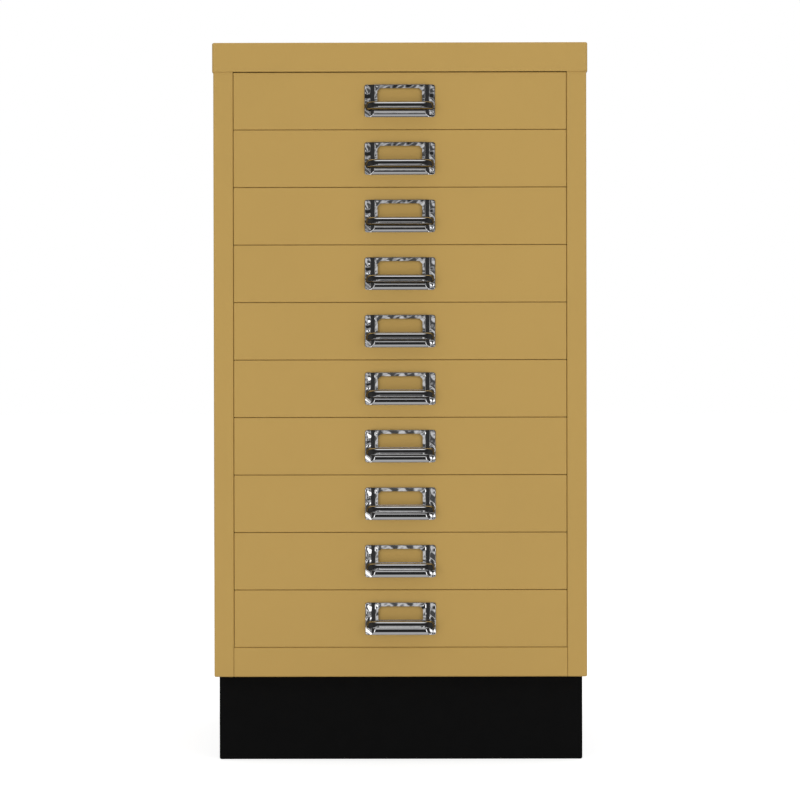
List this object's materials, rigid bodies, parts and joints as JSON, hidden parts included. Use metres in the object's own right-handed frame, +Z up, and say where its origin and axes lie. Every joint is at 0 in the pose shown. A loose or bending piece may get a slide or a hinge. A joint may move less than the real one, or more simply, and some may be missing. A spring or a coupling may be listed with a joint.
{
  "type": "multi-drawer cabinet",
  "caption": "Narrow upright sheet-steel cabinet of equal shallow drawers on a recessed plinth; each drawer has a chromed pull with a label frame and slides on nylon.",
  "frame": {"origin": "on the floor, in the middle of the whole footprint, the pulls included", "axes": "+Z up, -Y out of the front with the drawers, +X to the right seen from the front"},
  "size_m": [0.349, 0.4454, 0.67],
  "materials": {
    "body_paint": "smooth semi-gloss ochre enamel",
    "plinth_paint": "black semi-gloss enamel",
    "chrome": "bright chrome plate",
    "zinc_plated_steel": "dull zinc plate",
    "fastener_steel": "bright zinc plate",
    "nylon": "natural nylon"
  },
  "bodies": {
    "cabinet": {"top_cap": "body_paint", "top_rail": "body_paint", "left_side": "body_paint", "right_side": "body_paint", "back_panel": "body_paint", "base_pan": "body_paint", "bottom_rail": "body_paint", "left_uprights": "zinc_plated_steel", "right_uprights": "zinc_plated_steel", "left_runners": "zinc_plated_steel", "right_runners": "zinc_plated_steel", "runner_pads": "nylon", "plinth": "plinth_paint", "plinth_bolts": "fastener_steel", "plinth_nuts": "fastener_steel"},
    "drawer_01": {"drawer_01_front": "body_paint", "drawer_01_tray": "body_paint", "drawer_01_pull": "chrome", "drawer_01_shoes": "nylon"},
    "drawer_02": {"drawer_02_front": "body_paint", "drawer_02_tray": "body_paint", "drawer_02_pull": "chrome", "drawer_02_shoes": "nylon"},
    "drawer_03": {"drawer_03_front": "body_paint", "drawer_03_tray": "body_paint", "drawer_03_pull": "chrome", "drawer_03_shoes": "nylon"},
    "drawer_04": {"drawer_04_front": "body_paint", "drawer_04_tray": "body_paint", "drawer_04_pull": "chrome", "drawer_04_shoes": "nylon"},
    "drawer_05": {"drawer_05_front": "body_paint", "drawer_05_tray": "body_paint", "drawer_05_pull": "chrome", "drawer_05_shoes": "nylon"},
    "drawer_06": {"drawer_06_front": "body_paint", "drawer_06_tray": "body_paint", "drawer_06_pull": "chrome", "drawer_06_shoes": "nylon"},
    "drawer_07": {"drawer_07_front": "body_paint", "drawer_07_tray": "body_paint", "drawer_07_pull": "chrome", "drawer_07_shoes": "nylon"},
    "drawer_08": {"drawer_08_front": "body_paint", "drawer_08_tray": "body_paint", "drawer_08_pull": "chrome", "drawer_08_shoes": "nylon"},
    "drawer_09": {"drawer_09_front": "body_paint", "drawer_09_tray": "body_paint", "drawer_09_pull": "chrome", "drawer_09_shoes": "nylon"},
    "drawer_10": {"drawer_10_front": "body_paint", "drawer_10_tray": "body_paint", "drawer_10_pull": "chrome", "drawer_10_shoes": "nylon"}
  },
  "joints": [
    {"name": "drawer_01_slide", "type": "slide", "parent": "cabinet", "child": "drawer_01", "axis": [0, -1, 0], "range_m": [0, 0.3613]},
    {"name": "drawer_02_slide", "type": "slide", "parent": "cabinet", "child": "drawer_02", "axis": [0, -1, 0], "range_m": [0, 0.3613]},
    {"name": "drawer_03_slide", "type": "slide", "parent": "cabinet", "child": "drawer_03", "axis": [0, -1, 0], "range_m": [0, 0.3613]},
    {"name": "drawer_04_slide", "type": "slide", "parent": "cabinet", "child": "drawer_04", "axis": [0, -1, 0], "range_m": [0, 0.3613]},
    {"name": "drawer_05_slide", "type": "slide", "parent": "cabinet", "child": "drawer_05", "axis": [0, -1, 0], "range_m": [0, 0.3613]},
    {"name": "drawer_06_slide", "type": "slide", "parent": "cabinet", "child": "drawer_06", "axis": [0, -1, 0], "range_m": [0, 0.3613]},
    {"name": "drawer_07_slide", "type": "slide", "parent": "cabinet", "child": "drawer_07", "axis": [0, -1, 0], "range_m": [0, 0.3613]},
    {"name": "drawer_08_slide", "type": "slide", "parent": "cabinet", "child": "drawer_08", "axis": [0, -1, 0], "range_m": [0, 0.3613]},
    {"name": "drawer_09_slide", "type": "slide", "parent": "cabinet", "child": "drawer_09", "axis": [0, -1, 0], "range_m": [0, 0.3613]},
    {"name": "drawer_10_slide", "type": "slide", "parent": "cabinet", "child": "drawer_10", "axis": [0, -1, 0], "range_m": [0, 0.3613]}
  ]
}
